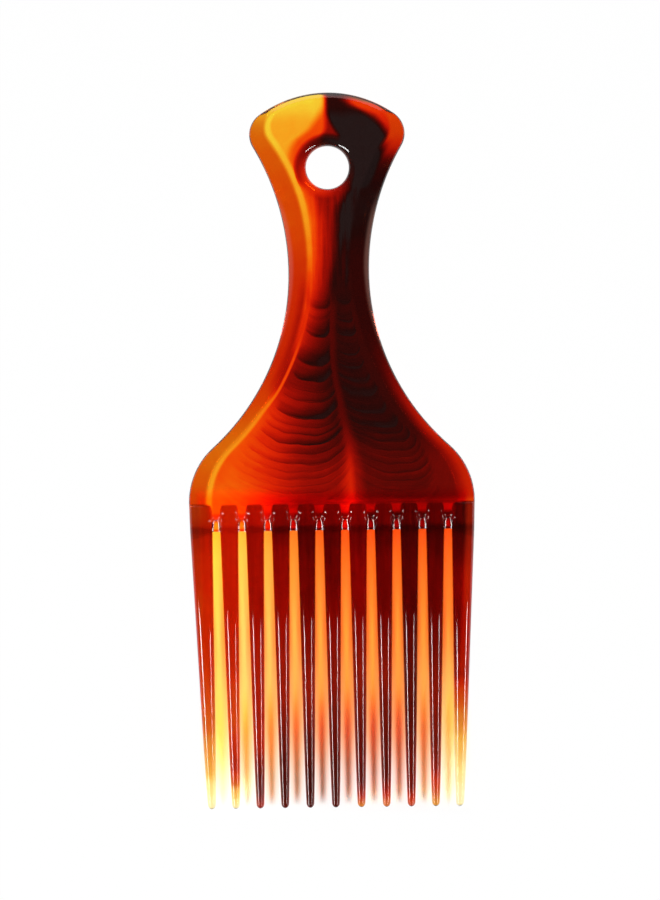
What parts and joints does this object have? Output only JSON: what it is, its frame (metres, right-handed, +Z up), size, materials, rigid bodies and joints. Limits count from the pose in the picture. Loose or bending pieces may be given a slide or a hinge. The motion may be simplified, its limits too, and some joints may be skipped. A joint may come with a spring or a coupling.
{
  "type": "fork comb",
  "caption": "Flat fork comb for lifting hair: a bevelled, waisted handle with a round hanging hole, a tooth bar and long tapered teeth in translucent plastic.",
  "frame": {"origin": "bottom centre of the bounding box: under the middle of the comb, on the plane that its back lies on", "axes": "+X across the teeth, +Y along the comb towards the handle's end, +Z up out of the front face"},
  "size_m": [0.07, 0.175, 0.005],
  "materials": {
    "handle_plastic": "high-gloss translucent, mottled tortoiseshell",
    "bar_plastic": "high-gloss translucent, mottled tortoiseshell",
    "inner_tooth_plastic": "high-gloss translucent, dark red-brown",
    "outer_tooth_plastic": "high-gloss translucent, amber towards the tip"
  },
  "bodies": {
    "root": {"handle": "handle_plastic", "tooth_bar": "bar_plastic", "tooth_01": "outer_tooth_plastic", "tooth_02": "inner_tooth_plastic", "tooth_03": "inner_tooth_plastic", "tooth_04": "inner_tooth_plastic", "tooth_05": "inner_tooth_plastic", "tooth_06": "inner_tooth_plastic", "tooth_07": "inner_tooth_plastic", "tooth_08": "inner_tooth_plastic", "tooth_09": "inner_tooth_plastic", "tooth_10": "inner_tooth_plastic", "tooth_11": "outer_tooth_plastic"}
  },
  "joints": []
}
